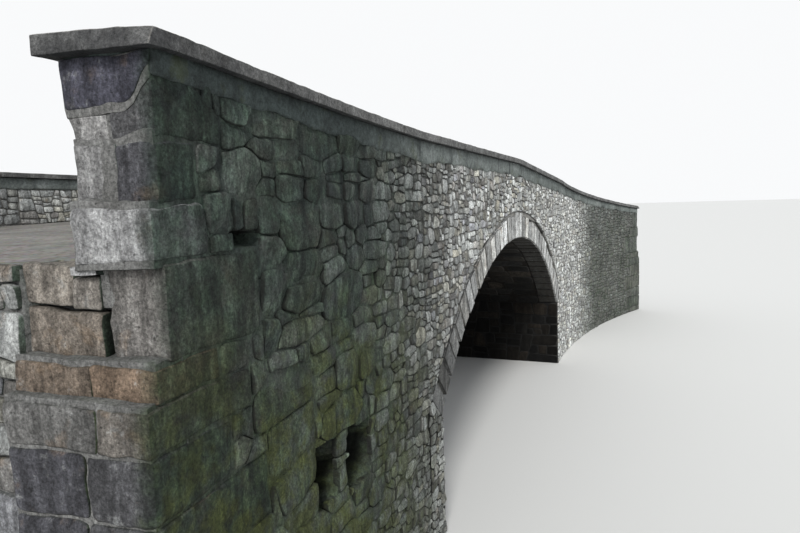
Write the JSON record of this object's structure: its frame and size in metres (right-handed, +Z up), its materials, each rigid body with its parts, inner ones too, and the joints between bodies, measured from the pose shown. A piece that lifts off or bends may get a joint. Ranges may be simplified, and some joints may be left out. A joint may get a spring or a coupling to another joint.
{
  "type": "stone arch bridge",
  "caption": "Old single-span stone arch road bridge with curved rubble wing walls, big quoins at the wall ends and a concrete coping.",
  "frame": {"origin": "on the ground under the middle of the bridge's length and width", "axes": "+X along the road towards the long flared wings, +Z up, front face towards -Y"},
  "size_m": [22.2033, 12.0996, 5.1019],
  "materials": {
    "rubble_stone": "rough",
    "dressed_stone": "rough",
    "arch_stone": "rough",
    "barrel_stone": "rough",
    "coping_concrete": "rough",
    "levelling_render": "rough",
    "road_fill": "rough"
  },
  "bodies": {
    "root": {"near_abutment": "rubble_stone", "far_abutment": "rubble_stone", "barrel_near_haunch": "barrel_stone", "barrel_crown": "barrel_stone", "barrel_far_haunch": "barrel_stone", "near_approach_fill": "road_fill", "near_haunch_fill": "road_fill", "far_haunch_fill": "road_fill", "far_approach_fill": "road_fill", "near_return_wall": "rubble_stone", "far_return_wall": "rubble_stone", "front_near_ring": "arch_stone", "front_keystone": "arch_stone", "front_far_ring": "arch_stone", "front_near_spandrel": "rubble_stone", "front_far_spandrel": "rubble_stone", "front_near_wing_wall": "rubble_stone", "front_far_wing_wall": "rubble_stone", "front_near_parapet": "rubble_stone", "front_far_parapet": "rubble_stone", "front_near_quoins": "dressed_stone", "front_far_quoins": "dressed_stone", "front_near_band": "levelling_render", "front_far_band": "levelling_render", "front_near_coping": "coping_concrete", "front_far_coping": "coping_concrete", "back_near_ring": "arch_stone", "back_keystone": "arch_stone", "back_far_ring": "arch_stone", "back_near_spandrel": "rubble_stone", "back_far_spandrel": "rubble_stone", "back_near_wing_wall": "rubble_stone", "back_far_wing_wall": "rubble_stone", "back_near_parapet": "rubble_stone", "back_far_parapet": "rubble_stone", "back_near_quoins": "dressed_stone", "back_far_quoins": "dressed_stone", "back_near_band": "levelling_render", "back_far_band": "levelling_render", "back_near_coping": "coping_concrete", "back_far_coping": "coping_concrete"}
  },
  "joints": []
}
